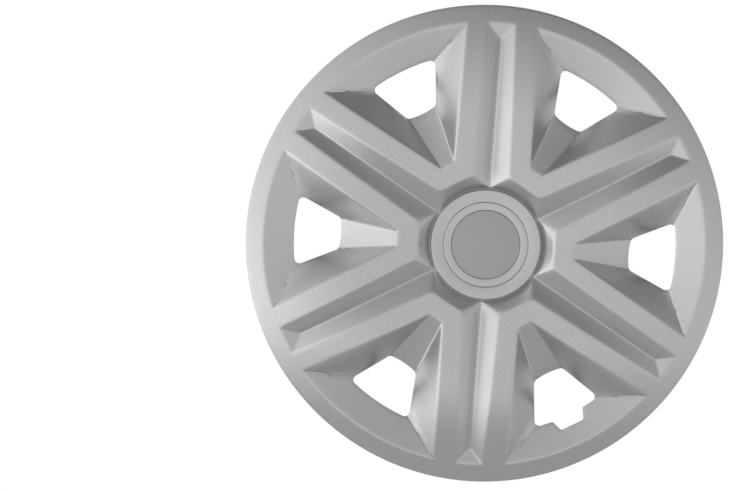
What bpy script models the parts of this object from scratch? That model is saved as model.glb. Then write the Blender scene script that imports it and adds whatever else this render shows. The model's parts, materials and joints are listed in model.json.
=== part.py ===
"""A snap-on cover for a 15 inch road wheel, with six twin spokes and sprung clips behind its flange.

Upright, as on the wheel: the wheel's axis is Y, the cover's face looks towards -Y, and the origin is on
the axis in the plane of the rim seat. Heights are measured forwards from that plane, so height = -y.
Angles are counted from +X towards +Z. Metres.
"""

import math

import bmesh
import bpy
from mathutils import Vector

# The cover as a whole
COVER_RADIUS = 0.200
WALL = 0.0026
SPOKES = 6
SECTOR = 360 / SPOKES
VALVE_ANGLE = 300
GAP = 0.0003

# The dome that the ribs and the flange share
CROWN_RADIUS = 0.112
CROWN_HEIGHT = 0.026
DISH_DEPTH = 0.0018
EDGE_HEIGHT = 0.0026
DOME_POWER = 1.9
FLANGE_RADIUS = 0.185

# The hub and the moat round it
HUB_RADIUS = 0.0457
HUB_HEIGHT = 0.0176
MOAT_RADIUS = 0.0468
FRAME_EDGE = 0.057

# The V groove along each spoke
GROOVE_INNER_HALF = 0.01525
GROOVE_OUTER_HALF = 0.0115
GROOVE_INNER_DEPTH = 0.0110
GROOVE_OUTER_DEPTH = 0.0085
GROOVE_END_RADIUS = 0.172

# The pocket between two spokes, and the window in its floor
POCKET_INNER = 0.0735
POCKET_INNER_HALF = 0.0061
POCKET_CORNER_ANGLE = 20.9
WINDOW_INNER = 0.1222
WINDOW_INNER_HALF = 0.0130
WINDOW_INNER_BULGE = 0.0014
WINDOW_RADIUS = 0.1600
WINDOW_CORNER_ANGLE = 10.6
WINDOW_HEIGHT = 0.0005
WINDOW_CORNER_ROUND = 0.004
FLOOR_MARGIN = 0.25
VALVE_MOUTH_HALF = 0.0139
VALVE_END_HALF = 0.0103
VALVE_END_RADIUS = 0.1687
VALVE_ROUND = 0.0025

# The flat land that meets the rim
LAND_INNER = 0.1935
LAND_OUTER = 0.1996

# The centre cap, its seat in the hub and the disc in its recess
SEAT_RADIUS = 0.0357
SEAT_HEIGHT = 0.0139
SEAT_HOLE = 0.0320
CAP_RADIUS = 0.0353
CAP_HEIGHT = 0.0167
CAP_RECESS_RADIUS = 0.0289
CAP_RECESS_HEIGHT = 0.0147
BADGE_RADIUS = 0.0284
BADGE_THICKNESS = 0.0011
CAP_LEGS = 6
LEG_WIDTH = 0.009

# The retention clips and the sockets that hold them
CLIP_OFFSET = 12
CLIP_WIDTH = 0.012
CLIP_THICKNESS = 0.0026
CLIP_RADIUS = 0.1757
CLIP_LENGTH = 0.0310
SOCKET_LENGTH = 0.0080
SOCKET_FLOOR = 0.0020
SOCKET_PLAY = 0.0005
HINGE_DEPTH = 0.0050
BOSS_INNER = 0.1715
BOSS_OUTER = 0.1800
BOSS_WIDTH = 0.0170

# The wire ring in the clips' notches
WIRE_RADIUS = 0.0015
RING_RADIUS = 0.1718
RING_DEPTH = 0.0240
NOTCH_RADIUS = WIRE_RADIUS + GAP
BOW_HEIGHT = 0.0070
BOW_HALF_ANGLE = 8
RING_STEP = 5
BOW_STEPS = 5
SLEEVE_ANGLE = 84
SLEEVE_LENGTH = 0.016
SLEEVE_RADIUS = 0.0028
SLEEVE_BORE = 0.0019
SLEEVE_STEPS = 16

# Mesh steps along a spoke, across each face of the pattern, and round turned pieces
ALONG = 8
ACROSS = 2
INNER_STEPS = 4
OUTER_STEPS = 4
TURN_STEPS = 60
LAND_STEPS = 96

CLIP_ANGLES = sorted(
    (SECTOR * k + side * CLIP_OFFSET) % 360 for k in range(SPOKES) for side in (-1, 1)
)


def clear_scene():
    for obj in list(bpy.data.objects):
        bpy.data.objects.remove(obj, do_unlink=True)


def collection(name):
    made = bpy.data.collections.new(name)
    bpy.context.scene.collection.children.link(made)
    return made


def material(name, color, roughness, metallic=0.0):
    made = bpy.data.materials.new(name)
    made.use_nodes = True
    shader = made.node_tree.nodes["Principled BSDF"]
    shader.inputs["Base Color"].default_value = (*color, 1)
    shader.inputs["Roughness"].default_value = roughness
    shader.inputs["Metallic"].default_value = metallic
    return made


def add_object(name, mesh_builder, group, finish=None):
    """A mesh object from a bmesh, which is freed."""
    mesh = bpy.data.meshes.new(name)
    mesh_builder.to_mesh(mesh)
    mesh_builder.free()
    obj = bpy.data.objects.new(name, mesh)
    group.objects.link(obj)
    if finish:
        mesh.materials.append(finish)
    return obj


def as_tool(obj):
    """A helper solid: shown as wire and left out of the object."""
    obj.hide_render = True
    obj.display_type = "WIRE"
    return obj


def boolean(obj, tool, operation):
    modifier = obj.modifiers.new(tool.name, "BOOLEAN")
    modifier.operation = operation
    modifier.solver = "EXACT"
    modifier.object = tool


def shade_smooth(obj, degrees=30):
    obj.data.shade_smooth()
    obj.data.set_sharp_from_angle(angle=math.radians(degrees))


def polar(radius, degrees, height=0.0):
    """A point of one sector: along the pocket's centreline, across it, and its height."""
    angle = math.radians(degrees)
    return Vector((radius * math.cos(angle), radius * math.sin(angle), height))


def to_part(point, degrees=0.0, side=1):
    """A sector's point in the part's frame, turned to that sector and mirrored if side is -1."""
    angle = math.radians(degrees)
    along, across, height = point.x, point.y * side, point.z
    return Vector(
        (
            along * math.cos(angle) - across * math.sin(angle),
            -height,
            along * math.sin(angle) + across * math.cos(angle),
        )
    )


def dome_height(radius):
    """Slightly dished inside the crown, and falling ever faster from there to the edge."""
    if radius < CROWN_RADIUS:
        inward = (CROWN_RADIUS - radius) / (CROWN_RADIUS - FRAME_EDGE)
        return CROWN_HEIGHT - DISH_DEPTH * inward**2
    outward = (radius - CROWN_RADIUS) / (COVER_RADIUS - CROWN_RADIUS)
    return CROWN_HEIGHT - (CROWN_HEIGHT - EDGE_HEIGHT) * outward**DOME_POWER


def moat_height():
    """The moat's floor, which the V grooves run out into."""
    return dome_height(MOAT_RADIUS) - GROOVE_INNER_DEPTH


def on_dome(point):
    return Vector((point.x, point.y, dome_height(math.hypot(point.x, point.y))))


def wall_height(radius):
    """The pocket's outer wall rises evenly from the window to the flange."""
    rise = (radius - WINDOW_RADIUS) / (FLANGE_RADIUS - WINDOW_RADIUS)
    return WINDOW_HEIGHT + rise * (dome_height(FLANGE_RADIUS) - WINDOW_HEIGHT)


def straight(first, last, t):
    return first.lerp(last, t)


def round_dome(first, last, t):
    """Between two points on the dome, by radius and angle."""
    radii = [math.hypot(p.x, p.y) for p in (first, last)]
    angles = [math.atan2(p.y, p.x) for p in (first, last)]
    radius = radii[0] + t * (radii[1] - radii[0])
    angle = angles[0] + t * (angles[1] - angles[0])
    return polar(radius, math.degrees(angle), dome_height(radius))


def line(first, last, steps):
    return [first.lerp(last, i / steps) for i in range(steps + 1)]


def dome_line(first, last, steps):
    return [on_dome(point) for point in line(first, last, steps)]


def arc(radius, first, last, steps, height):
    return [
        polar(radius, first + (last - first) * i / steps, height) for i in range(steps + 1)
    ]


def groove_line(steps):
    """The bottom of the V groove, a set depth below the dome on the spoke's centreline."""
    points = []
    for i in range(steps + 1):
        t = i / steps
        radius = MOAT_RADIUS + t * (GROOVE_END_RADIUS - MOAT_RADIUS)
        depth = GROOVE_INNER_DEPTH + t * (GROOVE_OUTER_DEPTH - GROOVE_INNER_DEPTH)
        points.append(polar(radius, SECTOR / 2, dome_height(radius) - depth))
    return points


def half_sector():
    """The faces from a pocket's centreline to the next spoke's, as (first, last, steps, between)."""
    middle = SECTOR / 2
    frame_corner_across = (
        FRAME_EDGE * math.sin(math.radians(middle)) - GROOVE_INNER_HALF
    ) / math.cos(math.radians(middle))
    groove_end_angle = middle - math.degrees(math.asin(GROOVE_OUTER_HALF / FLANGE_RADIUS))
    pocket_inner = Vector((POCKET_INNER, POCKET_INNER_HALF, 0))
    pocket_outer = polar(FLANGE_RADIUS, POCKET_CORNER_ANGLE)
    frame_corner = Vector((FRAME_EDGE, frame_corner_across, 0))
    groove_outer = polar(FLANGE_RADIUS, groove_end_angle)
    flange_height = dome_height(FLANGE_RADIUS)

    pocket_inner_edge = dome_line(Vector((POCKET_INNER, 0, 0)), pocket_inner, INNER_STEPS)
    pocket_side_edge = dome_line(pocket_inner, pocket_outer, ALONG)
    pocket_outer_edge = arc(FLANGE_RADIUS, 0, POCKET_CORNER_ANGLE, OUTER_STEPS, flange_height)
    frame_edge = dome_line(Vector((FRAME_EDGE, 0, 0)), frame_corner, INNER_STEPS)
    groove_edge = dome_line(frame_corner, groove_outer, ALONG)
    groove_bottom = groove_line(ALONG)
    rib_end = arc(FLANGE_RADIUS, POCKET_CORNER_ANGLE, groove_end_angle, ACROSS, flange_height)
    groove_end = arc(FLANGE_RADIUS, groove_end_angle, middle, ACROSS, flange_height)
    moat = arc(MOAT_RADIUS, 0, middle, INNER_STEPS, moat_height())

    # The pocket's walls run on past the window's outline, which is cut out of them afterwards.
    inner_corner = Vector((WINDOW_INNER, WINDOW_INNER_HALF, WINDOW_HEIGHT))
    outer_corner = polar(WINDOW_RADIUS, WINDOW_CORNER_ANGLE, WINDOW_HEIGHT)
    inner_corner += FLOOR_MARGIN * (inner_corner - pocket_side_edge[0])
    outer_corner += FLOOR_MARGIN * (outer_corner - pocket_side_edge[-1])
    inner_middle = Vector((inner_corner.x, 0, inner_corner.z))
    floor_inner = line(inner_middle, inner_corner, INNER_STEPS)
    floor_side = line(inner_corner, outer_corner, ALONG)
    floor_outer = arc(
        math.hypot(outer_corner.x, outer_corner.y),
        0,
        math.degrees(math.atan2(outer_corner.y, outer_corner.x)),
        OUTER_STEPS,
        outer_corner.z,
    )

    faces = [
        (floor_inner, pocket_inner_edge, ACROSS, straight),
        (floor_side, pocket_side_edge, ACROSS, straight),
        (floor_outer, pocket_outer_edge, ACROSS, straight),
        (frame_edge, pocket_inner_edge, ACROSS, round_dome),
        (pocket_side_edge, groove_edge, ACROSS, round_dome),
        (groove_bottom, groove_edge, ACROSS, straight),
        (moat, frame_edge, ACROSS, straight),
        ([groove_bottom[-1]] * (ACROSS + 1), groove_end, ACROSS, straight),
    ]
    for edge in (pocket_outer_edge, rib_end, groove_end):
        rim = [
            polar(COVER_RADIUS, math.degrees(math.atan2(p.y, p.x)), EDGE_HEIGHT) for p in edge
        ]
        faces.append((edge, rim, ACROSS, round_dome))
    return faces


def add_face_strip(builder, first, last, steps, between, place):
    rows = [
        [builder.verts.new(place(between(a, b, i / steps))) for a, b in zip(first, last)]
        for i in range(steps + 1)
    ]
    for lower, upper in zip(rows, rows[1:]):
        for i in range(len(lower) - 1):
            builder.faces.new((lower[i], lower[i + 1], upper[i + 1], upper[i]))


def face_surface():
    """The whole front surface, every face looking forwards."""
    builder = bmesh.new()
    for k in range(SPOKES):
        for side in (-1, 1):
            for first, last, steps, between in half_sector():
                add_face_strip(
                    builder, first, last, steps, between,
                    lambda point: to_part(point, SECTOR * k, side),
                )
    bmesh.ops.remove_doubles(builder, verts=builder.verts, dist=1e-6)
    builder.normal_update()
    backward = [face for face in builder.faces if face.normal.y > 0]
    bmesh.ops.reverse_faces(builder, faces=backward)
    return builder


def turned(name, outline, group, finish=None, steps=TURN_STEPS):
    """A solid turned about the wheel's axis from (radius, height) points, down the outer side first."""
    builder = bmesh.new()
    points = [builder.verts.new((radius, 0, height)) for radius, height in outline]
    for first, last in zip(points, points[1:] + points[:1]):
        if first.co.x > 0 or last.co.x > 0:
            builder.edges.new((first, last))
    obj = add_object(name, builder, group, finish)
    screw = obj.modifiers.new("turn", "SCREW")
    screw.steps = screw.render_steps = steps
    screw.use_merge_vertices = True
    screw.merge_threshold = 0.00001
    obj.rotation_euler.x = math.pi / 2
    return obj


def prism(builder, outline, low, high, degrees, rounded=(), radius=0.0):
    """Adds an upright prism on a sector's outline, with some of its corners rounded."""
    base = Vector((0, 0, low))
    verts = [builder.verts.new(to_part(point.xy.to_3d() + base, degrees)) for point in outline]
    face = builder.faces.new(verts)
    if rounded:
        result = bmesh.ops.bevel(
            builder,
            geom=[verts[i] for i in rounded],
            offset=radius,
            offset_type="OFFSET",
            segments=4,
            profile=0.5,
            affect="VERTICES",
        )
        around = {f for v in result["verts"] for f in v.link_faces}
        face = max(around, key=lambda f: f.calc_area())
    solid = bmesh.ops.extrude_face_region(builder, geom=[face])
    moved = [item for item in solid["geom"] if isinstance(item, bmesh.types.BMVert)]
    bmesh.ops.translate(builder, verts=moved, vec=(0, low - high, 0))


def window_tool(group):
    builder = bmesh.new()
    outer = arc(WINDOW_RADIUS, -WINDOW_CORNER_ANGLE, WINDOW_CORNER_ANGLE, 2 * OUTER_STEPS, 0)
    inner = [
        Vector((WINDOW_INNER, WINDOW_INNER_HALF, 0)),
        Vector((WINDOW_INNER - WINDOW_INNER_BULGE, WINDOW_INNER_HALF / 3, 0)),
        Vector((WINDOW_INNER - WINDOW_INNER_BULGE, -WINDOW_INNER_HALF / 3, 0)),
        Vector((WINDOW_INNER, -WINDOW_INNER_HALF, 0)),
    ]
    outline = outer + inner
    corners = (0, len(outer) - 1, len(outer), len(outer) + 3)
    for k in range(SPOKES):
        prism(builder, outline, -0.02, 0.03, SECTOR * k, corners, WINDOW_CORNER_ROUND)
    bmesh.ops.recalc_face_normals(builder, faces=builder.faces)
    return as_tool(add_object("window_tool", builder, group))


def valve_tool(group):
    builder = bmesh.new()
    mouth = WINDOW_RADIUS - 0.004
    outline = [
        Vector((mouth, -VALVE_MOUTH_HALF, 0)),
        Vector((WINDOW_RADIUS, -VALVE_MOUTH_HALF, 0)),
        Vector((VALVE_END_RADIUS, -VALVE_END_HALF, 0)),
        Vector((VALVE_END_RADIUS, VALVE_END_HALF, 0)),
        Vector((WINDOW_RADIUS, VALVE_MOUTH_HALF, 0)),
        Vector((mouth, VALVE_MOUTH_HALF, 0)),
    ]
    prism(builder, outline, -0.02, 0.03, VALVE_ANGLE, (2, 3), VALVE_ROUND)
    bmesh.ops.recalc_face_normals(builder, faces=builder.faces)
    return as_tool(add_object("valve_tool", builder, group))


def block(builder, inner, outer, width, lows, high, degrees):
    """Adds a block between two radii, with a front height for each and its back at depth high."""
    cube = bmesh.ops.create_cube(builder, size=1)["verts"]
    for vert in cube:
        radius, low = (outer, lows[1]) if vert.co.x > 0 else (inner, lows[0])
        across = width / 2 if vert.co.z > 0 else -width / 2
        height = low if vert.co.y < 0 else -high
        vert.co = to_part(Vector((radius, across, height)), degrees)


def boss_tool(group):
    """The bosses on the back of the pockets' outer walls, starting half-way through the wall."""
    builder = bmesh.new()
    lows = [wall_height(radius) - WALL / 2 for radius in (BOSS_INNER, BOSS_OUTER)]
    for degrees in CLIP_ANGLES:
        block(builder, BOSS_INNER, BOSS_OUTER, BOSS_WIDTH, lows, SOCKET_LENGTH, degrees)
    return as_tool(add_object("boss_tool", builder, group))


def socket_tool(group):
    builder = bmesh.new()
    half = CLIP_THICKNESS / 2 + SOCKET_PLAY
    width = CLIP_WIDTH + 2 * SOCKET_PLAY
    mouth = SOCKET_LENGTH + 0.001
    for degrees in CLIP_ANGLES:
        floor = (-SOCKET_FLOOR, -SOCKET_FLOOR)
        block(builder, CLIP_RADIUS - half, CLIP_RADIUS + half, width, floor, mouth, degrees)
    return as_tool(add_object("socket_tool", builder, group))


def land_tool(group):
    """The ring of material that ends the flange in a flat land against the rim."""
    inner_top = dome_height(LAND_INNER) - WALL / 2
    outline = [
        (LAND_OUTER, EDGE_HEIGHT - 0.0002),
        (LAND_OUTER, 0),
        (LAND_INNER, 0),
        (LAND_INNER, inner_top),
    ]
    return as_tool(turned("land_tool", outline, group, steps=LAND_STEPS))


def hub_tool(group):
    """The hub: its side, its dished front ring, the cap's seat and the hole for the cap's legs."""
    floor = moat_height()
    back = floor - WALL
    foot = MOAT_RADIUS + 0.0019
    outline = [
        (HUB_RADIUS - 0.0009, HUB_HEIGHT),
        (HUB_RADIUS - 0.0003, HUB_HEIGHT - 0.0002),
        (HUB_RADIUS, HUB_HEIGHT - 0.0008),
        (MOAT_RADIUS - 0.0003, floor + 0.0003),
        (foot, floor - 0.0006),
        (foot, back),
        (HUB_RADIUS - WALL + 0.0008, back),
        (HUB_RADIUS - WALL, HUB_HEIGHT - 2 * WALL),
        (SEAT_HOLE, SEAT_HEIGHT - WALL),
        (SEAT_HOLE, SEAT_HEIGHT),
        (SEAT_RADIUS, SEAT_HEIGHT),
        (SEAT_RADIUS, HUB_HEIGHT - 0.0008),
    ]
    return as_tool(turned("hub_tool", outline, group))


def cover_face(group, tools, finish):
    obj = add_object("cover_face", face_surface(), group, finish)
    solidify = obj.modifiers.new("wall", "SOLIDIFY")
    solidify.thickness = WALL
    solidify.offset = -1
    solidify.use_even_offset = True
    boolean(obj, window_tool(tools), "DIFFERENCE")
    boolean(obj, hub_tool(tools), "UNION")
    boolean(obj, land_tool(tools), "UNION")
    boolean(obj, boss_tool(tools), "UNION")
    boolean(obj, socket_tool(tools), "DIFFERENCE")
    boolean(obj, valve_tool(tools), "DIFFERENCE")
    shade_smooth(obj)
    return obj


def centre_cap(group, tools, finish):
    """A shallow dish with a recess for the disc, and six hooked legs that snap behind the hub's hole."""
    under = SEAT_HEIGHT + GAP
    tub = SEAT_HOLE - 0.0006
    outline = [
        (CAP_RADIUS - 0.0004, CAP_HEIGHT),
        (CAP_RADIUS, CAP_HEIGHT - 0.0004),
        (CAP_RADIUS, under),
        (tub, under),
        (tub, CAP_RECESS_HEIGHT - 0.0020),
        (0, CAP_RECESS_HEIGHT - 0.0020),
        (0, CAP_RECESS_HEIGHT),
        (CAP_RECESS_RADIUS, CAP_RECESS_HEIGHT),
        (CAP_RECESS_RADIUS, CAP_HEIGHT - 0.0004),
    ]
    obj = turned("centre_cap", outline, group, finish)
    boolean(obj, leg_tool(tools), "UNION")
    shade_smooth(obj)
    return obj


def leg_tool(group):
    """The cap's legs, each hooked outwards behind the seat."""
    inner = SEAT_HOLE - 0.0034
    outer = SEAT_HOLE - 0.0008
    hook = SEAT_HOLE + 0.0012
    top = CAP_RECESS_HEIGHT - 0.0010
    catch = SEAT_HEIGHT - WALL - 0.0004
    tip = catch - 0.0045
    outline = [
        (inner, top),
        (outer, top),
        (outer, catch),
        (hook, catch - 0.0002),
        (hook, catch - 0.0014),
        (outer - 0.0006, tip),
        (inner, tip),
    ]
    builder = bmesh.new()
    for k in range(CAP_LEGS):
        degrees = SECTOR * (k + 0.5)
        verts = [
            builder.verts.new(to_part(Vector((radius, -LEG_WIDTH / 2, height)), degrees))
            for radius, height in outline
        ]
        extrude_across(builder, builder.faces.new(verts), LEG_WIDTH, degrees)
    bmesh.ops.recalc_face_normals(builder, faces=builder.faces)
    return as_tool(add_object("leg_tool", builder, group))


def extrude_across(builder, face, width, degrees):
    """Extrudes a face along the tangent at that angle."""
    made = bmesh.ops.extrude_face_region(builder, geom=[face])
    moved = [item for item in made["geom"] if isinstance(item, bmesh.types.BMVert)]
    tangent = to_part(Vector((0, width, 0)), degrees)
    bmesh.ops.translate(builder, verts=moved, vec=tangent)


def centre_badge(group, finish):
    low = CAP_RECESS_HEIGHT + GAP
    high = low + BADGE_THICKNESS
    outline = [
        (0, high),
        (BADGE_RADIUS - GAP, high),
        (BADGE_RADIUS, high - GAP),
        (BADGE_RADIUS, low),
        (0, low),
    ]
    obj = turned("centre_badge", outline, group, finish)
    shade_smooth(obj)
    return obj


def clip_outline():
    """A clip's side view as (radius, depth behind the seat): foot, leg, hooked nose, tip and ring notch."""
    inner = CLIP_RADIUS - CLIP_THICKNESS / 2
    outer = CLIP_RADIUS + CLIP_THICKNESS / 2
    nose = outer + 0.0035
    jaw = RING_RADIUS - 0.0004
    notch = [
        (
            RING_RADIUS + NOTCH_RADIUS * math.cos(math.radians(degrees)),
            RING_DEPTH + NOTCH_RADIUS * math.sin(math.radians(degrees)),
        )
        for degrees in (75, 45, 15, -15, -45, -75)
    ]
    return [
        (inner, SOCKET_FLOOR + GAP),
        (outer, SOCKET_FLOOR + GAP),
        (outer, RING_DEPTH - 0.0060),
        (nose, RING_DEPTH - 0.0015),
        (nose, RING_DEPTH + 0.0015),
        (outer - 0.0006, CLIP_LENGTH),
        (inner, CLIP_LENGTH),
        (jaw, RING_DEPTH + 0.0040),
        (jaw, RING_DEPTH + NOTCH_RADIUS * math.sin(math.radians(75)) + 0.0002),
        *notch,
        (jaw, RING_DEPTH - NOTCH_RADIUS * math.sin(math.radians(75)) - 0.0002),
        (jaw, RING_DEPTH - 0.0035),
        (inner, RING_DEPTH - 0.0065),
    ]


def retention_clips(group, finish):
    """Twelve clips that share one mesh, each with its origin on its hinge line in the socket."""
    builder = bmesh.new()
    verts = [
        builder.verts.new((radius - CLIP_RADIUS, depth - HINGE_DEPTH, -CLIP_WIDTH / 2))
        for radius, depth in clip_outline()
    ]
    extrude_across(builder, builder.faces.new(verts), CLIP_WIDTH, 0)
    bmesh.ops.recalc_face_normals(builder, faces=builder.faces)
    first = add_object("retention_clip_01", builder, group, finish)
    clips = [first]
    for number in range(2, len(CLIP_ANGLES) + 1):
        clip = bpy.data.objects.new(f"retention_clip_{number:02d}", first.data)
        group.objects.link(clip)
        clips.append(clip)
    for clip, degrees in zip(clips, CLIP_ANGLES):
        clip.location = to_part(polar(CLIP_RADIUS, degrees, -HINGE_DEPTH))
        clip.rotation_euler.y = -math.radians(degrees)
    return clips


def ring_radius(degrees):
    """The wire bows outwards where the valve stem passes inside it."""
    off = abs(degrees - VALVE_ANGLE)
    if off >= BOW_HALF_ANGLE:
        return RING_RADIUS
    return RING_RADIUS + BOW_HEIGHT * (1 + math.cos(math.pi * off / BOW_HALF_ANGLE)) / 2


def tension_ring(group, finish):
    """The wire from one side of the sleeve's middle round to the other, as an open tube."""
    end_gap = math.degrees(0.0006 / RING_RADIUS)
    first = SLEEVE_ANGLE + end_gap
    last = SLEEVE_ANGLE + 360 - end_gap
    round_stops = [
        degrees
        for degrees in range(SLEEVE_ANGLE + RING_STEP, SLEEVE_ANGLE + 360, RING_STEP)
        if abs(degrees - VALVE_ANGLE) > BOW_HALF_ANGLE
    ]
    bow_stops = [
        VALVE_ANGLE + BOW_HALF_ANGLE * k / BOW_STEPS for k in range(-BOW_STEPS, BOW_STEPS + 1)
    ]
    stops = sorted([first, *round_stops, *bow_stops, last])
    curve = bpy.data.curves.new("tension_ring", "CURVE")
    curve.dimensions = "3D"
    curve.bevel_depth = WIRE_RADIUS
    curve.bevel_resolution = 2
    curve.use_fill_caps = True
    spline = curve.splines.new("POLY")
    spline.points.add(len(stops) - 1)
    for point, degrees in zip(spline.points, stops):
        place = to_part(polar(ring_radius(degrees), degrees, -RING_DEPTH))
        point.co = (*place, 1)
    curve.materials.append(finish)
    obj = bpy.data.objects.new("tension_ring", curve)
    group.objects.link(obj)
    return obj


def ring_sleeve(group, finish):
    """A short tube on the wire's joint."""
    half = SLEEVE_LENGTH / 2
    outline = [(SLEEVE_RADIUS, half), (SLEEVE_RADIUS, -half), (SLEEVE_BORE, -half), (SLEEVE_BORE, half)]
    obj = turned("ring_sleeve", outline, group, finish, steps=SLEEVE_STEPS)
    tangent = to_part(Vector((0, 1, 0)), SLEEVE_ANGLE)
    obj.rotation_euler = tangent.to_track_quat("Z", "Y").to_euler()
    obj.location = to_part(polar(RING_RADIUS, SLEEVE_ANGLE, -RING_DEPTH))
    shade_smooth(obj)
    return obj


def main():
    clear_scene()
    parts = collection("wheel_cover")
    tools = collection("tools")
    silver = material("silver_paint", (0.56, 0.57, 0.58), 0.35, 0.6)
    plate = material("badge_silver", (0.42, 0.43, 0.44), 0.5, 0.4)
    acetal = material("clip_plastic", (0.05, 0.05, 0.05), 0.45)
    steel = material("spring_steel", (0.5, 0.5, 0.5), 0.3, 1.0)
    cover_face(parts, tools, silver)
    centre_cap(parts, tools, silver)
    centre_badge(parts, plate)
    retention_clips(parts, acetal)
    tension_ring(parts, steel)
    ring_sleeve(parts, steel)


main()
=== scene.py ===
import json
import math

import bmesh
import bpy
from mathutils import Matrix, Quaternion, Vector

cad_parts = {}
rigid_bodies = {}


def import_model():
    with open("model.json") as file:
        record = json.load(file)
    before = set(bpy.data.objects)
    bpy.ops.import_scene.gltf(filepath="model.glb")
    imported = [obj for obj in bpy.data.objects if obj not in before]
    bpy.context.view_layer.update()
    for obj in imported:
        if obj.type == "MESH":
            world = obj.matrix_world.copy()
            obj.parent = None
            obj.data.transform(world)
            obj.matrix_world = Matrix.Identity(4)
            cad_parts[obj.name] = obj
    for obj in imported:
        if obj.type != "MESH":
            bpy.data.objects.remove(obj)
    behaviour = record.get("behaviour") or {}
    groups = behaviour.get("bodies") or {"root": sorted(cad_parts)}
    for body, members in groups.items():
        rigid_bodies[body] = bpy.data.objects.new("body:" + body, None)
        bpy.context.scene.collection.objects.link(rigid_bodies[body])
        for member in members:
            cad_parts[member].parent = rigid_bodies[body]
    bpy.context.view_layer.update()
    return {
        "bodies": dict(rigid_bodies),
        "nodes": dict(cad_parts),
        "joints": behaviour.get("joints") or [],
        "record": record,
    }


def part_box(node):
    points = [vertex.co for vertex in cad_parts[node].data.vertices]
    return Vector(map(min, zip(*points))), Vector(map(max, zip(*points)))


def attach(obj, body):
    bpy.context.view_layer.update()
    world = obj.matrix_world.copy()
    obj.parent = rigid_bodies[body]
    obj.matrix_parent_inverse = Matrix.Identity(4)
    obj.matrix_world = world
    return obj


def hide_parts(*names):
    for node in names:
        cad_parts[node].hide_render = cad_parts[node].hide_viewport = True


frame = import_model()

# ---------------------------------------------------------------- the cover's design
# The same dimensions as in the CAD model.
# Heights are measured forwards from the rim seat: height = -y. Angles run from +X towards +Z.
COVER_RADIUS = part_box("cover_face")[1].x
WALL = 0.0026
SPOKES = 6
SECTOR = 360 / SPOKES
VALVE_ANGLE = 300

CROWN_RADIUS = 0.112
CROWN_HEIGHT = 0.026
DISH_DEPTH = 0.0018
EDGE_HEIGHT = 0.0026
DOME_POWER = 1.9
FLANGE_RADIUS = 0.185
FRAME_EDGE = 0.057

HUB_RADIUS = 0.0457
HUB_HEIGHT = 0.0176
MOAT_RADIUS = 0.0468

GROOVE_INNER_HALF = 0.01525
GROOVE_OUTER_HALF = 0.0115
GROOVE_INNER_DEPTH = 0.0110
GROOVE_OUTER_DEPTH = 0.0085
GROOVE_END_RADIUS = 0.172

POCKET_INNER = 0.0735
POCKET_INNER_HALF = 0.0061
POCKET_CORNER_ANGLE = 20.9
WINDOW_INNER = 0.1222
WINDOW_INNER_HALF = 0.0130
WINDOW_INNER_BULGE = 0.0014
WINDOW_RADIUS = 0.1600
WINDOW_CORNER_ANGLE = 10.6
WINDOW_HEIGHT = 0.0005
WINDOW_CORNER_ROUND = 0.004
VALVE_MOUTH_HALF = 0.0139
VALVE_END_HALF = 0.0103
VALVE_END_RADIUS = 0.1687
VALVE_ROUND = 0.0025
VALVE_MOUTH_ROUND = 0.0018

LAND_INNER = 0.1935
SEAT_RADIUS = 0.0357
SEAT_HEIGHT = 0.0139
SEAT_HOLE = 0.0320
CAP_RADIUS = 0.0353
CAP_HEIGHT = 0.0167
CAP_RECESS_RADIUS = 0.0289
CAP_RECESS_HEIGHT = 0.0147
BADGE_RADIUS = 0.0284
BADGE_THICKNESS = 0.0011
LEG_WIDTH = 0.009

CLIP_OFFSET = 12
CLIP_WIDTH = 0.012
CLIP_THICKNESS = 0.0026
CLIP_RADIUS = 0.1757
CLIP_LENGTH = 0.0310
SOCKET_LENGTH = 0.0080
SOCKET_FLOOR = 0.0020
SOCKET_PLAY = 0.0005
BOSS_INNER = 0.1715
BOSS_OUTER = 0.1800
BOSS_WIDTH = 0.0170

WIRE_RADIUS = 0.0015
RING_RADIUS = 0.1718
RING_DEPTH = 0.0240
NOTCH_RADIUS = 0.0018
NOTCH_HALF_ANGLE = 75
NOTCH_STEP = 15
BOW_HEIGHT = 0.0070
BOW_HALF_ANGLE = 8
SLEEVE_ANGLE = 84
SLEEVE_LENGTH = 0.016
SLEEVE_RADIUS = 0.0028
SLEEVE_BORE = 0.0019
PINCH_OFFSET = 0.0038
PINCH_LENGTH = 0.0011
PINCH_DEPTH = 0.17
PINCH_SPREAD = 0.03

CLIP_ANGLES = sorted(
    (SECTOR * k + side * CLIP_OFFSET) % 360 for k in range(SPOKES) for side in (-1, 1)
)

# ---------------------------------------------------------------- mesh resolution and edge rounding
ALONG = 30
ACROSS = 5
INNER_STEPS = 8
OUTER_STEPS = 16
TURN_STEPS = 180
FILLET_STEPS = 4
HALF_FILLET = FILLET_STEPS // 2
WIRE_STEPS = 48
SLEEVE_ROWS = 48
SLEEVE_SIDES = 32
# The frame's corners beside the hub are rounded in plan.
FRAME_CORNER_ROUND = 0.008
# The moulding's edges: the full rounding on the front's ridges, and the shares of it elsewhere.
EDGE_ROUND = 0.0013
RIM_SHARE = 0.25
CREASE_SHARE = 0.6
BACK_SHARE = 0.4
SHARP_DEGREES = 10
FRONT, BACK, RIM = 0, 1, 2


# ---------------------------------------------------------------- materials
def new_material(name):
    made = bpy.data.materials.new(name)
    made.use_nodes = True
    return made, made.node_tree.nodes, made.node_tree.links


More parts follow.
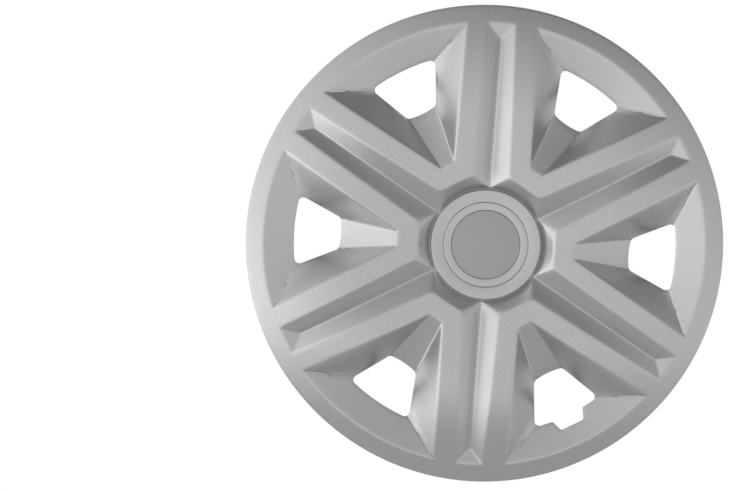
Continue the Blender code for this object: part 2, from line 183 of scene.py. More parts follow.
def mottled(name, scale, dark, light, span=(0.0, 1.0)):
    """A material whose colour wanders between two tones in a fine grain; also its shader and grain."""
    made, nodes, links = new_material(name)
    shader = nodes["Principled BSDF"]
    place = nodes.new("ShaderNodeTexCoord")
    grain = nodes.new("ShaderNodeTexNoise")
    grain.inputs["Scale"].default_value = scale
    links.new(place.outputs["Object"], grain.inputs["Vector"])
    tone = nodes.new("ShaderNodeValToRGB")
    for element, position, colour in zip(tone.color_ramp.elements, span, (dark, light)):
        element.position = position
        element.color = (*colour, 1)
    links.new(grain.outputs["Fac"], tone.inputs["Fac"])
    links.new(tone.outputs["Color"], shader.inputs["Base Color"])
    return made, shader, grain


def add_bump(made, shader, noise, strength):
    """Lets a noise texture ruffle the surface, 0.2 mm deep at full strength."""
    nodes, links = made.node_tree.nodes, made.node_tree.links
    bump = nodes.new("ShaderNodeBump")
    bump.inputs["Strength"].default_value = strength
    bump.inputs["Distance"].default_value = 0.0002
    links.new(noise.outputs["Fac"], bump.inputs["Height"])
    links.new(bump.outputs["Normal"], shader.inputs["Normal"])


def silver_paint():
    """Silver metallic lacquer: fine aluminium flake and a faint orange peel."""
    dark, light = (0.55, 0.555, 0.565), (0.64, 0.645, 0.65)
    made, shader, flake = mottled("silver_paint", 1100, dark, light, (0.30, 0.72))
    nodes, links = made.node_tree.nodes, made.node_tree.links
    flake.inputs["Detail"].default_value = 2
    place = nodes.new("ShaderNodeTexCoord")
    peel = nodes.new("ShaderNodeTexNoise")
    peel.inputs["Scale"].default_value = 320
    links.new(place.outputs["Object"], peel.inputs["Vector"])
    add_bump(made, shader, peel, 0.08)
    shader.inputs["Metallic"].default_value = 0.88
    shader.inputs["Roughness"].default_value = 0.29
    return made


def raw_plastic():
    """The unpainted back of the moulding: dark ABS with a fine mould grain."""
    dark, light = (0.030, 0.030, 0.032), (0.055, 0.055, 0.058)
    made, shader, grain = mottled("raw_plastic", 700, dark, light)
    add_bump(made, shader, grain, 0.2)
    shader.inputs["Roughness"].default_value = 0.55
    return made


def badge_silver():
    """The blank disc: a flatter, darker satin silver with a fine grain."""
    dark, light = (0.40, 0.405, 0.41), (0.50, 0.505, 0.51)
    made, shader, _ = mottled("badge_silver", 1100, dark, light)
    shader.inputs["Metallic"].default_value = 0.6
    shader.inputs["Roughness"].default_value = 0.5
    return made


def clip_plastic():
    """Dark, slightly glossier plastic with a faint grain."""
    dark, light = (0.038, 0.038, 0.040), (0.065, 0.065, 0.068)
    made, shader, _ = mottled("clip_plastic", 500, dark, light)
    shader.inputs["Roughness"].default_value = 0.42
    return made


def spring_steel():
    """Plated wire, slightly cloudy."""
    dark, light = (0.42, 0.42, 0.41), (0.62, 0.62, 0.61)
    made, shader, _ = mottled("spring_steel", 260, dark, light)
    shader.inputs["Metallic"].default_value = 1.0
    shader.inputs["Roughness"].default_value = 0.3
    return made


# ---------------------------------------------------------------- geometry helpers
def polar(radius, degrees, height=0.0):
    """A point of one sector: along the pocket's centreline, across it, and its height."""
    angle = math.radians(degrees)
    return Vector((radius * math.cos(angle), radius * math.sin(angle), height))


def radius_of(point):
    return math.hypot(point.x, point.y)


def angle_of(point):
    return math.degrees(math.atan2(point.y, point.x))


def to_part(point, degrees=0.0, side=1):
    """A sector's point in the part's frame, turned to that sector and mirrored if side is -1."""
    angle = math.radians(degrees)
    along, across, height = point.x, point.y * side, point.z
    return Vector(
        (
            along * math.cos(angle) - across * math.sin(angle),
            -height,
            along * math.sin(angle) + across * math.cos(angle),
        )
    )


def dome_height(radius):
    """Slightly dished inside the crown, and falling ever faster from there to the edge."""
    if radius < CROWN_RADIUS:
        inward = (CROWN_RADIUS - radius) / (CROWN_RADIUS - FRAME_EDGE)
        return CROWN_HEIGHT - DISH_DEPTH * inward**2
    outward = (radius - CROWN_RADIUS) / (COVER_RADIUS - CROWN_RADIUS)
    return CROWN_HEIGHT - (CROWN_HEIGHT - EDGE_HEIGHT) * outward**DOME_POWER


def moat_height():
    return dome_height(MOAT_RADIUS) - GROOVE_INNER_DEPTH


def on_dome(point):
    return Vector((point.x, point.y, dome_height(radius_of(point))))


def wall_height(radius):
    """The pocket's outer wall rises evenly from the window to the flange."""
    rise = (radius - WINDOW_RADIUS) / (FLANGE_RADIUS - WINDOW_RADIUS)
    return WINDOW_HEIGHT + rise * (dome_height(FLANGE_RADIUS) - WINDOW_HEIGHT)


def straight(first, last, t):
    return first.lerp(last, t)


def round_dome(first, last, t):
    """Between two points on the dome, by radius and angle."""
    radius = radius_of(first) + t * (radius_of(last) - radius_of(first))
    angle = angle_of(first) + t * (angle_of(last) - angle_of(first))
    return polar(radius, angle, dome_height(radius))


def line(first, last, steps):
    return [first.lerp(last, i / steps) for i in range(steps + 1)]


def dome_line(first, last, steps):
    return [on_dome(point) for point in line(first, last, steps)]


def arc(radius, first, last, steps, height):
    return [
        polar(radius, first + (last - first) * i / steps, height) for i in range(steps + 1)
    ]


def corner_arc(before, corner, after, radius, steps):
    """The points of a fillet that rounds a corner, from the leg before it to the leg after it."""
    back, forth = (before - corner).normalized(), (after - corner).normalized()
    half = back.angle(forth) / 2
    centre = corner + (back + forth).normalized() * radius / math.sin(half)
    reach = radius / math.tan(half)
    start, end = corner + back * reach - centre, corner + forth * reach - centre
    turn = start.angle(end)
    shares = [
        (math.sin(turn * (1 - i / steps)), math.sin(turn * i / steps)) for i in range(steps + 1)
    ]
    return [centre + (start * a + end * b) / math.sin(turn) for a, b in shares]


def add_mesh(name, builder, *finishes):
    mesh = bpy.data.meshes.new(name)
    builder.to_mesh(mesh)
    builder.free()
    obj = bpy.data.objects.new(name, mesh)
    bpy.context.scene.collection.objects.link(obj)
    for finish in finishes:
        mesh.materials.append(finish)
    return obj


def applied(obj):
    """Replaces an object's mesh by what its modifiers make of it."""
    graph = bpy.context.evaluated_depsgraph_get()
    mesh = bpy.data.meshes.new_from_object(obj.evaluated_get(graph))
    obj.modifiers.clear()
    obj.data = mesh
    return obj


def smooth(obj, degrees=35):
    obj.data.shade_smooth()
    obj.data.set_sharp_from_angle(angle=math.radians(degrees))
    return obj


# ---------------------------------------------------------------- the painted moulding
def spread(steps):
    """Fractions along an edge, closer together at its two ends, where the corners are."""
    ends = (0, 0.035, 0.07)
    middle = [0.07 + 0.86 * i / (steps - 4) for i in range(1, steps - 4)]
    return [*ends, *middle, *(1 - t for t in reversed(ends))]


def along_dome(first, last, steps):
    return [on_dome(first.lerp(last, t)) for t in spread(steps)]


def bulged(t):
    """A point of the window's inner edge, from the centreline (0) to the corner (1)."""
    return Vector((WINDOW_INNER - WINDOW_INNER_BULGE * (1 - t * t), WINDOW_INNER_HALF * t, 0))


def window_edges(notched):
    """The window's inner, side and outer edges in one half of a pocket.

    The inner and outer edges run from the centreline to a corner, and the side from the inner
    corner to the outer one.
    """
    inner_corner = Vector((WINDOW_INNER, WINDOW_INNER_HALF, 0))
    outer_corner = polar(WINDOW_RADIUS, WINDOW_CORNER_ANGLE)
    inner_arc = corner_arc(
        bulged(0.7), inner_corner, outer_corner, WINDOW_CORNER_ROUND, FILLET_STEPS
    )
    beside = polar(WINDOW_RADIUS, WINDOW_CORNER_ANGLE - 1.5)
    outer_arc = corner_arc(
        inner_corner, outer_corner, beside, WINDOW_CORNER_ROUND, FILLET_STEPS
    )
    side = [
        *inner_arc[HALF_FILLET:],
        *line(inner_arc[-1], outer_arc[0], ALONG - FILLET_STEPS)[1:-1],
        *outer_arc[: HALF_FILLET + 1],
    ]
    straight_part = inner_arc[0].y / WINDOW_INNER_HALF
    inner_steps = INNER_STEPS - HALF_FILLET
    outer_steps = OUTER_STEPS - HALF_FILLET
    inner = [
        *(bulged(straight_part * i / inner_steps) for i in range(inner_steps)),
        *inner_arc[: HALF_FILLET + 1],
    ]
    if notched:
        rest = notch_path(outer_arc[-1], outer_steps)
    else:
        end = outer_arc[-1]
        rest = [
            polar(WINDOW_RADIUS, angle_of(end) * (1 - i / outer_steps))
            for i in range(outer_steps + 1)
        ]
    outer = [*outer_arc[HALF_FILLET:-1], *rest][::-1]
    return (
        [Vector((p.x, p.y, WINDOW_HEIGHT)) for p in inner],
        [Vector((p.x, p.y, WINDOW_HEIGHT)) for p in side],
        [Vector((p.x, p.y, wall_height(radius_of(p)))) for p in outer],
    )


def notch_path(start, steps):
    """From the window's outer arc, along it, into the valve notch and to the centreline."""
    mouth = polar(WINDOW_RADIUS, math.degrees(math.asin(VALVE_MOUTH_HALF / WINDOW_RADIUS)))
    corner = Vector((VALVE_END_RADIUS, VALVE_END_HALF, 0))
    end = Vector((VALVE_END_RADIUS, 0, 0))
    beside = polar(WINDOW_RADIUS, angle_of(mouth) + 1.2)
    mouth_arc = corner_arc(beside, mouth, corner, VALVE_MOUTH_ROUND, 3)
    end_arc = corner_arc(mouth, corner, end, VALVE_ROUND, FILLET_STEPS)
    path = [start, start.lerp(mouth_arc[0], 0.5), *mouth_arc, *end_arc]
    left = steps + 1 - len(path)
    return path + [end_arc[-1].lerp(end, (i + 1) / left) for i in range(left)]


def frame_edges(corner, groove_outer):
    """The edge facing the hub and the groove's edge, which share the rounded corner between them."""
    middle = Vector((FRAME_EDGE, 0, 0))
    bend = corner_arc(middle, corner, groove_outer, FRAME_CORNER_ROUND, FILLET_STEPS)
    frame = [
        *line(middle, bend[0], INNER_STEPS - HALF_FILLET)[:-1],
        *bend[: HALF_FILLET + 1],
    ]
    groove = [
        *bend[HALF_FILLET:],
        *line(bend[-1], groove_outer, ALONG - HALF_FILLET)[1:],
    ]
    return [on_dome(point) for point in frame], [on_dome(point) for point in groove]


def half_sector(notched):
    """The front from a pocket's centreline to the next spoke's: strips of (first, last, steps, between)."""
    middle = SECTOR / 2
    lean = math.radians(middle)
    frame_corner = Vector(
        (FRAME_EDGE, (FRAME_EDGE * math.sin(lean) - GROOVE_INNER_HALF) / math.cos(lean), 0)
    )
    groove_end_angle = middle - math.degrees(math.asin(GROOVE_OUTER_HALF / FLANGE_RADIUS))
    pocket_inner = Vector((POCKET_INNER, POCKET_INNER_HALF, 0))
    pocket_outer = polar(FLANGE_RADIUS, POCKET_CORNER_ANGLE)
    flange = dome_height(FLANGE_RADIUS)

    inner_floor, side_floor, outer_floor = window_edges(notched)
    pocket_middle = Vector((POCKET_INNER, 0, 0))
    pocket_inner_edge = dome_line(pocket_middle, pocket_inner, INNER_STEPS)
    pocket_side_edge = along_dome(pocket_inner, pocket_outer, ALONG)
    pocket_outer_edge = arc(FLANGE_RADIUS, 0, POCKET_CORNER_ANGLE, OUTER_STEPS, flange)
    frame_edge, groove_edge = frame_edges(frame_corner, polar(FLANGE_RADIUS, groove_end_angle))
    rib_end = arc(FLANGE_RADIUS, POCKET_CORNER_ANGLE, groove_end_angle, ACROSS, flange)
    groove_end = arc(FLANGE_RADIUS, groove_end_angle, middle, ACROSS, flange)
    moat = arc(MOAT_RADIUS, 0, middle, INNER_STEPS, moat_height())
    groove_bottom = []
    for t in spread(ALONG):
        radius = MOAT_RADIUS + t * (GROOVE_END_RADIUS - MOAT_RADIUS)
        depth = GROOVE_INNER_DEPTH + t * (GROOVE_OUTER_DEPTH - GROOVE_INNER_DEPTH)
        groove_bottom.append(polar(radius, middle, dome_height(radius) - depth))

    faces = [
        (inner_floor, pocket_inner_edge, ACROSS + 3, straight),
        (side_floor, pocket_side_edge, ACROSS + 3, straight),
        (outer_floor, pocket_outer_edge, ACROSS + 3, straight),
        (frame_edge, pocket_inner_edge, ACROSS, round_dome),
        (pocket_side_edge, groove_edge, ACROSS, round_dome),
        (groove_bottom, groove_edge, ACROSS, straight),
        (moat, frame_edge, ACROSS, straight),
        ([groove_bottom[-1]] * (ACROSS + 1), groove_end, ACROSS, straight),
    ]
    for edge in (pocket_outer_edge, rib_end, groove_end):
        rim = [polar(COVER_RADIUS, angle_of(p), EDGE_HEIGHT) for p in edge]
        lip = [polar(COVER_RADIUS, angle_of(p), 0) for p in edge]
        faces.append((edge, rim, ACROSS, round_dome))
        faces.append((rim, lip, 1, straight))
    return faces


def add_face_strip(builder, first, last, steps, between, place):
    pairs = list(zip(first, last, strict=True))
    rows = [
        [builder.verts.new(place(between(a, b, i / steps))) for a, b in pairs]
        for i in range(steps + 1)
    ]
    for lower, upper in zip(rows, rows[1:]):
        for i in range(len(lower) - 1):
            builder.faces.new((lower[i], lower[i + 1], upper[i + 1], upper[i]))


def face_surface():
    """The whole front surface, every face looking forwards or, on the lip, outwards."""
    builder = bmesh.new()
    for k in range(SPOKES):
        faces = half_sector(SECTOR * k == VALVE_ANGLE)
        for side in (-1, 1):
            for first, last, steps, between in faces:
                add_face_strip(
                    builder, first, last, steps, between,
                    lambda point: to_part(point, SECTOR * k, side),
                )
    bmesh.ops.remove_doubles(builder, verts=builder.verts, dist=1e-6)
    builder.normal_update()
    wrong = []
    for face in builder.faces:
        centre = face.calc_center_median()
        outward = face.normal.x * centre.x + face.normal.z * centre.z
        lip = abs(face.normal.y) < 0.01 and math.hypot(centre.x, centre.z) > FLANGE_RADIUS
        if (lip and outward < 0) or (not lip and face.normal.y > 0):
            wrong.append(face)
    bmesh.ops.reverse_faces(builder, faces=wrong)
    return builder


def mark_edges(obj):
    """Gives every edge of the moulding its share of the rounding, as a bevel weight."""
    builder = bmesh.new()
    builder.from_mesh(obj.data)
    weight = builder.edges.layers.float.new("bevel_weight_edge")
    for edge in builder.edges:
        if len(edge.link_faces) != 2:
            continue
        kinds = {face.material_index for face in edge.link_faces}
        bend = math.degrees(edge.calc_face_angle(0))
        if RIM in kinds and len(kinds) > 1:
            edge[weight] = RIM_SHARE
        elif bend > SHARP_DEGREES and kinds == {FRONT}:
            edge[weight] = 1.0 if edge.is_convex else CREASE_SHARE
        elif bend > SHARP_DEGREES and kinds == {BACK}:
            edge[weight] = BACK_SHARE
    builder.to_mesh(obj.data)
    builder.free()


def cover_shell(paint, plastic):
    shell = add_mesh("cover_shell", face_surface(), paint, plastic, paint)
    wall = shell.modifiers.new("wall", "SOLIDIFY")
    wall.thickness = WALL
    wall.offset = -1
    wall.use_even_offset = True
    wall.material_offset = BACK
    wall.material_offset_rim = RIM
    applied(shell)
    mark_edges(shell)
    bevel = shell.modifiers.new("rounding", "BEVEL")
    bevel.limit_method = "WEIGHT"
    bevel.width = EDGE_ROUND
    bevel.segments = 3
    bevel.use_clamp_overlap = False
    bevel.miter_outer = "MITER_ARC"
    applied(shell)
    return smooth(shell)


# ---------------------------------------------------------------- turned pieces
def rounded_profile(corners):
    """A profile's points from (radius, height, rounding) corners."""
    points = []
    count = len(corners)
    for i, (radius, height, rounding) in enumerate(corners):
        corner = Vector((radius, height, 0))
        if rounding == 0:
            points.append(corner)
            continue
        before = Vector((*corners[i - 1][:2], 0))
        after = Vector((*corners[(i + 1) % count][:2], 0))
        points += corner_arc(before, corner, after, rounding, FILLET_STEPS)
    return points


def turned(name, corners, *finishes, steps=TURN_STEPS):
    """A solid turned about the wheel's axis from (radius, height, rounding) corners.

    The corners go down the outer side first.
    """
    builder = bmesh.new()
    rim = [builder.verts.new((p.x, 0, p.y)) for p in rounded_profile(corners)]
    for first, last in zip(rim, rim[1:] + rim[:1]):
        if first.co.x > 0 or last.co.x > 0:
            builder.edges.new((first, last))
    obj = add_mesh(name, builder, *finishes)
    screw = obj.modifiers.new("turn", "SCREW")
    screw.steps = screw.render_steps = steps
    screw.use_merge_vertices = True
    screw.merge_threshold = 0.00001
    obj.rotation_euler.x = math.pi / 2
    applied(obj)
    obj.data.transform(obj.matrix_basis)
    obj.rotation_euler.x = 0
    return smooth(obj)


def hub(paint):
    """The hub's side, its dished front ring, the cap's seat and the hole for the cap's legs."""
    floor = moat_height()
    foot = MOAT_RADIUS + 0.0019
    corners = [
        (HUB_RADIUS - 0.0001, HUB_HEIGHT, 0.0009),
        (MOAT_RADIUS - 0.0004, floor + 0.0002, 0.0004),
        (foot, floor - 0.0006, 0),
        (foot, floor - WALL, 0),
        (HUB_RADIUS - WALL + 0.0008, floor - WALL, 0.0003),
        (HUB_RADIUS - WALL, HUB_HEIGHT - 2 * WALL, 0.0006),
        (SEAT_HOLE, SEAT_HEIGHT - WALL, 0.0003),
        (SEAT_HOLE, SEAT_HEIGHT, 0.0002),
        (SEAT_RADIUS, SEAT_HEIGHT, 0),
        (SEAT_RADIUS, HUB_HEIGHT - 0.0009, 0.0003),
    ]
    return turned("hub", corners, paint)


def centre_cap(paint):
    under = SEAT_HEIGHT + 0.0003
    tub = SEAT_HOLE - 0.0006
    floor = CAP_RECESS_HEIGHT
    corners = [
        (CAP_RADIUS, CAP_HEIGHT, 0.0005),
        (CAP_RADIUS, under, 0.0002),
        (tub, under, 0.0002),
        (tub, floor - 0.0020, 0.0004),
        (0, floor - 0.0020, 0),
        (0, floor, 0),
        (CAP_RECESS_RADIUS, floor, 0.0002),
        (CAP_RECESS_RADIUS, CAP_HEIGHT - 0.0004, 0.0003),
    ]
    return turned("cap", corners, paint)


def cap_legs(paint):
    """Six legs, each hooked outwards behind the seat."""
    inner, outer = SEAT_HOLE - 0.0034, SEAT_HOLE - 0.0008
    hook = SEAT_HOLE + 0.0012
    catch = SEAT_HEIGHT - WALL - 0.0004
    tip = catch - 0.0045
    outline = [
        (inner, CAP_RECESS_HEIGHT - 0.0012),
        (outer, CAP_RECESS_HEIGHT - 0.0012),
        (outer, catch),
        (hook, catch - 0.0002),
        (hook, catch - 0.0014),
        (outer - 0.0006, tip),
        (inner, tip),
    ]
    builder = bmesh.new()
    for k in range(SPOKES):
        degrees = SECTOR * (k + 0.5)
        verts = [
            builder.verts.new(to_part(Vector((radius, -LEG_WIDTH / 2, height)), degrees))
            for radius, height in outline
        ]
        extrude_across(builder, builder.faces.new(verts), LEG_WIDTH, degrees)
    bmesh.ops.recalc_face_normals(builder, faces=builder.faces)
    return rounded(add_mesh("cap_legs", builder, paint), 0.0003)


def centre_badge(finish):
    low = CAP_RECESS_HEIGHT + 0.0003
    high = low + BADGE_THICKNESS
    corners = [
        (0, high, 0),
        (BADGE_RADIUS, high, 0.0003),
        (BADGE_RADIUS, low, 0.0001),
        (0, low, 0),
    ]
    return turned("badge", corners, finish)


# ---------------------------------------------------------------- back of the moulding
def extrude_across(builder, face, width, degrees):
    made = bmesh.ops.extrude_face_region(builder, geom=[face])
    moved = [item for item in made["geom"] if isinstance(item, bmesh.types.BMVert)]
    tangent = to_part(Vector((0, width, 0)), degrees)
    bmesh.ops.translate(builder, verts=moved, vec=tangent)


def rounded(obj, width, segments=2, degrees=30):
    bevel = obj.modifiers.new("rounding", "BEVEL")
    bevel.width = width
    bevel.segments = segments
    bevel.limit_method = "ANGLE"
    bevel.angle_limit = math.radians(degrees)
    applied(obj)
    return smooth(obj)


def block(builder, inner, outer, width, fronts, depth, degrees):
    """Adds a block between two radii: its front at a height for each, its back at a depth."""
    for vert in bmesh.ops.create_cube(builder, size=1)["verts"]:
        radius, front = (outer, fronts[1]) if vert.co.x > 0 else (inner, fronts[0])
        across = width / 2 if vert.co.z > 0 else -width / 2
        height = front if vert.co.y < 0 else -depth
        vert.co = to_part(Vector((radius, across, height)), degrees)


def socket_bosses(plastic):
    """The sockets for the clips, on the back of the pockets' outer walls."""
    builder = bmesh.new()
    fronts = [wall_height(radius) - WALL / 2 for radius in (BOSS_INNER, BOSS_OUTER)]
    for degrees in CLIP_ANGLES:
        block(builder, BOSS_INNER, BOSS_OUTER, BOSS_WIDTH, fronts, SOCKET_LENGTH, degrees)
    bosses = add_mesh("socket_bosses", builder, plastic)
    builder = bmesh.new()
    half = CLIP_THICKNESS / 2 + SOCKET_PLAY
    width = CLIP_WIDTH + 2 * SOCKET_PLAY
    inner, outer = CLIP_RADIUS - half, CLIP_RADIUS + half
    floor = (-SOCKET_FLOOR, -SOCKET_FLOOR)
    past = SOCKET_LENGTH + 0.001
    for degrees in CLIP_ANGLES:
        block(builder, inner, outer, width, floor, past, degrees)
    slots = add_mesh("slots", builder)
    cut = bosses.modifiers.new("slots", "BOOLEAN")
    cut.operation = "DIFFERENCE"
    cut.object = slots
    applied(bosses)
    bpy.data.objects.remove(slots)
    return rounded(bosses, 0.0004)


def land_ring(plastic):
    """The flat land behind the flange's edge, which seats on the rim."""
    inner_top = dome_height(LAND_INNER) - WALL / 2
    corners = [
        (COVER_RADIUS - 0.0012, EDGE_HEIGHT - 0.0006, 0),
        (COVER_RADIUS - 0.0012, 0, 0),
        (LAND_INNER, 0, 0.0004),
        (LAND_INNER, inner_top, 0),
    ]
    return turned("land_ring", corners, plastic, steps=240)


# ---------------------------------------------------------------- clips, wire ring and sleeve
def clip_outline():
    """A clip's side view as (radius, depth): foot, leg, hooked nose, tip and ring notch."""
    inner = CLIP_RADIUS - CLIP_THICKNESS / 2
    outer = CLIP_RADIUS + CLIP_THICKNESS / 2
    nose = outer + 0.0035
    jaw = RING_RADIUS - 0.0004
    lip = NOTCH_RADIUS * math.sin(math.radians(NOTCH_HALF_ANGLE)) + 0.0002
    notch = [
        (
            RING_RADIUS + NOTCH_RADIUS * math.cos(math.radians(degrees)),
            RING_DEPTH + NOTCH_RADIUS * math.sin(math.radians(degrees)),
        )
        for degrees in range(NOTCH_HALF_ANGLE, -NOTCH_HALF_ANGLE - 1, -NOTCH_STEP)
    ]
    return [
        (inner, SOCKET_FLOOR + 0.0003),
        (outer, SOCKET_FLOOR + 0.0003),
        (outer, RING_DEPTH - 0.0060),
        (nose, RING_DEPTH - 0.0015),
        (nose, RING_DEPTH + 0.0015),
        (outer - 0.0006, CLIP_LENGTH),
        (inner, CLIP_LENGTH),
        (jaw, RING_DEPTH + 0.0040),
        (jaw, RING_DEPTH + lip),
        *notch,
        (jaw, RING_DEPTH - lip),
        (jaw, RING_DEPTH - 0.0035),
        (inner, RING_DEPTH - 0.0065),
    ]


def retention_clip(number, degrees, plastic):
    builder = bmesh.new()
    verts = [
        builder.verts.new(to_part(Vector((radius, -CLIP_WIDTH / 2, -depth)), degrees))
        for radius, depth in clip_outline()
    ]
    extrude_across(builder, builder.faces.new(verts), CLIP_WIDTH, degrees)
    bmesh.ops.recalc_face_normals(builder, faces=builder.faces)
    clip = rounded(add_mesh(f"clip_{number:02d}", builder, plastic), 0.00035)
    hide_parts(f"retention_clip_{number:02d}")
    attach(clip, f"clip_{number:02d}")


def ring_radius(degrees):
    off = abs(degrees - VALVE_ANGLE)
    if off >= BOW_HALF_ANGLE:
        return RING_RADIUS
    return RING_RADIUS + BOW_HEIGHT * (1 + math.cos(math.pi * off / BOW_HALF_ANGLE)) / 2


def ring_arc(number, first, last, steel):
    """The stretch of the wire that one clip holds."""
    curve = bpy.data.curves.new(f"ring_arc_{number:02d}", "CURVE")
    curve.dimensions = "3D"
    curve.bevel_depth = WIRE_RADIUS
    curve.bevel_resolution = 4
    curve.use_fill_caps = True
    spline = curve.splines.new("POLY")
    spline.points.add(WIRE_STEPS)
    for i, point in enumerate(spline.points):
        degrees = first + (last - first) * i / WIRE_STEPS
        point.co = (*to_part(polar(ring_radius(degrees), degrees, -RING_DEPTH)), 1)
    curve.materials.append(steel)
    piece = bpy.data.objects.new(f"ring_arc_{number:02d}", curve)
    bpy.context.scene.collection.objects.link(piece)
    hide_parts("tension_ring")
    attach(piece, f"clip_{number:02d}")


def ring_sleeve(steel):
    """The crimped sleeve on the wire's joint, pinched twice."""
    builder = bmesh.new()
    half = SLEEVE_LENGTH / 2
    centre = to_part(polar(RING_RADIUS, SLEEVE_ANGLE, -RING_DEPTH))
    tangent = to_part(Vector((0, 1, 0)), SLEEVE_ANGLE)
    outward = to_part(Vector((1, 0, 0)), SLEEVE_ANGLE)
    back = Vector((0, 1, 0))
    stations = [-half + SLEEVE_LENGTH * i / SLEEVE_ROWS for i in range(SLEEVE_ROWS + 1)]
    outer = []
    for station in stations:
        pinch = sum(
            math.exp(-(((station - at) / PINCH_LENGTH) ** 2)) for at in (-PINCH_OFFSET, PINCH_OFFSET)
        )
        ease = min(half - abs(station), 0.0004) / 0.0004
        size = SLEEVE_RADIUS - 0.0003 * (1 - ease)
        outer.append((station, size * (1 + PINCH_SPREAD * pinch), size * (1 - PINCH_DEPTH * pinch)))
    loops = []
    for station, wide, thin in outer + [(s, SLEEVE_BORE, SLEEVE_BORE) for s in (half, -half)]:
        loops.append(
            [
                builder.verts.new(
                    centre
                    + tangent * station
                    + outward * wide * math.cos(2 * math.pi * j / SLEEVE_SIDES)
                    + back * thin * math.sin(2 * math.pi * j / SLEEVE_SIDES)
                )
                for j in range(SLEEVE_SIDES)
            ]
        )
    for lower, upper in zip(loops, loops[1:] + loops[:1]):
        for j in range(SLEEVE_SIDES):
            following = (j + 1) % SLEEVE_SIDES
            builder.faces.new((lower[j], lower[following], upper[following], upper[j]))
    bmesh.ops.recalc_face_normals(builder, faces=builder.faces)
    sleeve = smooth(add_mesh("sleeve", builder, steel))
    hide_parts("ring_sleeve")
    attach(sleeve, "clip_03")


def build_ring(steel):
    """Twelve arcs, each from half-way to the clip before to half-way to the clip after."""
    count = len(CLIP_ANGLES)
    for i, degrees in enumerate(CLIP_ANGLES):
        before = CLIP_ANGLES[i - 1] - (360 if i == 0 else 0)
        after = CLIP_ANGLES[(i + 1) % count] + (360 if i == count - 1 else 0)
        ring_arc(i + 1, (before + degrees) / 2, (degrees + after) / 2, steel)


def build_cover():
    paint, plastic = silver_paint(), raw_plastic()
    pieces = [
        (cover_shell(paint, plastic), "cover_face", "silver_paint"),
        (hub(paint), "cover_face", "silver_paint"),
        (land_ring(plastic), "cover_face", "silver_paint"),
        (socket_bosses(plastic), "cover_face", "silver_paint"),
        (centre_cap(paint), "centre_cap", "silver_paint"),
        (cap_legs(paint), "centre_cap", "silver_paint"),
        (centre_badge(badge_silver()), "centre_badge", "badge_silver"),
    ]
    for piece, node, slot in pieces:
        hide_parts(node)
        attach(piece, "cover")
    acetal, steel = clip_plastic(), spring_steel()
    for number, degrees in enumerate(CLIP_ANGLES, 1):
        retention_clip(number, degrees, acetal)
    build_ring(steel)
    ring_sleeve(steel)


# ---------------------------------------------------------------- camera, studio and floor
CAMERA_DISTANCE = 3.0
CAMERA_AZIMUTH = -2.0
CAMERA_ELEVATION = 2.5
CAMERA_ROLL = 4.3
SENSOR = 36
FRAME_WIDTH = 0.6118
SHIFT = (-0.1645, -0.0030)
FLOOR_DEPTH = 0.50
FLOOR_RADIUS = 1.3
FLOOR_FADE = (0.5, 1.25)


def make_camera():
    data = bpy.data.cameras.new("camera")
    data.sensor_width = SENSOR
    data.lens = SENSOR * CAMERA_DISTANCE / FRAME_WIDTH
    data.shift_x, data.shift_y = SHIFT
    data.clip_end = 50
    camera = bpy.data.objects.new("camera", data)
    bpy.context.scene.collection.objects.link(camera)
    lift, aside = math.radians(CAMERA_ELEVATION), math.radians(CAMERA_AZIMUTH)
    away = Vector(
        (math.sin(aside) * math.cos(lift), -math.cos(aside) * math.cos(lift), math.sin(lift))
    )
    camera.location = away * CAMERA_DISTANCE
    camera.rotation_mode = "QUATERNION"
    roll = Quaternion((0, 0, 1), math.radians(CAMERA_ROLL))
    camera.rotation_quaternion = (-away).to_track_quat("-Z", "Y") @ roll
    bpy.context.scene.camera = camera


# The studio seen in the paint, as soft lobes of light (or of dark) added to an even ground:
# (angle in the face's plane, angle off the face's axis, strength, narrowness)
STUDIO_GROUND = 0.72
STUDIO_DARKEST = 0.02
STUDIO_LOBES = [
    (185, 80, 0.45, 2),
    (226, 80, 0.55, 4),
    (275, 75, 0.15, 2),
    (90, 85, -0.42, 2),
    (50, 85, -0.20, 3),
]


def maths(nodes, links, operation, first, second):
    node = nodes.new("ShaderNodeMath")
    node.operation = operation
    for socket, value in zip(node.inputs, (first, second)):
        if isinstance(value, bpy.types.NodeSocket):
            links.new(value, socket)
        else:
            socket.default_value = value
    return node.outputs["Value"]


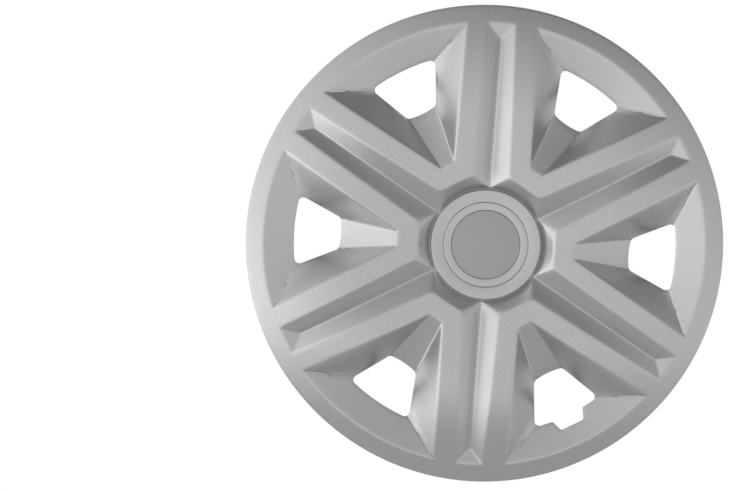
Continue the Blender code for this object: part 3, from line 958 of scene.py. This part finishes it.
def make_world():
    """An even studio in the reflections, and plain white where it is seen directly."""
    world = bpy.data.worlds.new("studio")
    bpy.context.scene.world = world
    world.use_nodes = True
    nodes, links = world.node_tree.nodes, world.node_tree.links
    nodes.clear()
    direction = nodes.new("ShaderNodeTexCoord").outputs["Generated"]
    total = None
    for around, off_axis, strength, narrowness in STUDIO_LOBES:
        towards = polar(math.sin(math.radians(off_axis)), around)
        dot = nodes.new("ShaderNodeVectorMath")
        dot.operation = "DOT_PRODUCT"
        dot.inputs[1].default_value = (towards.x, -math.cos(math.radians(off_axis)), towards.y)
        links.new(direction, dot.inputs[0])
        facing = maths(nodes, links, "MAXIMUM", dot.outputs["Value"], 0.0)
        lobe = maths(nodes, links, "POWER", facing, narrowness)
        lobe = maths(nodes, links, "MULTIPLY", lobe, strength)
        total = maths(nodes, links, "ADD", lobe, STUDIO_GROUND if total is None else total)
    lit = nodes.new("ShaderNodeBackground")
    links.new(maths(nodes, links, "MAXIMUM", total, STUDIO_DARKEST), lit.inputs["Strength"])
    seen = nodes.new("ShaderNodeBackground")
    mix = nodes.new("ShaderNodeMixShader")
    path = nodes.new("ShaderNodeLightPath")
    output = nodes.new("ShaderNodeOutputWorld")
    for background in (lit, seen):
        background.inputs["Color"].default_value = (1, 1, 1, 1)
    links.new(path.outputs["Is Camera Ray"], mix.inputs["Fac"])
    links.new(lit.outputs["Background"], mix.inputs[1])
    links.new(seen.outputs["Background"], mix.inputs[2])
    links.new(mix.outputs["Shader"], output.inputs["Surface"])


def make_floor():
    """A plain pale disc below the cover that fades out towards its edge."""
    builder = bmesh.new()
    bmesh.ops.create_circle(builder, cap_ends=True, segments=96, radius=FLOOR_RADIUS)
    made, nodes, links = new_material("pale_floor")
    shader = nodes["Principled BSDF"]
    shader.inputs["Base Color"].default_value = (0.9, 0.9, 0.9, 1)
    shader.inputs["Roughness"].default_value = 0.8
    place = nodes.new("ShaderNodeTexCoord")
    length = nodes.new("ShaderNodeVectorMath")
    length.operation = "LENGTH"
    links.new(place.outputs["Object"], length.inputs[0])
    fade = nodes.new("ShaderNodeMapRange")
    fade.inputs["From Min"].default_value = FLOOR_FADE[0]
    fade.inputs["From Max"].default_value = FLOOR_FADE[1]
    fade.inputs["To Min"].default_value = 1.0
    fade.inputs["To Max"].default_value = 0.0
    links.new(length.outputs["Value"], fade.inputs["Value"])
    links.new(fade.outputs["Result"], shader.inputs["Alpha"])
    floor = add_mesh("floor", builder, made)
    floor.location.z = -FLOOR_DEPTH


build_cover()
make_camera()
make_world()
make_floor()
bpy.context.scene.view_settings.view_transform = "Standard"
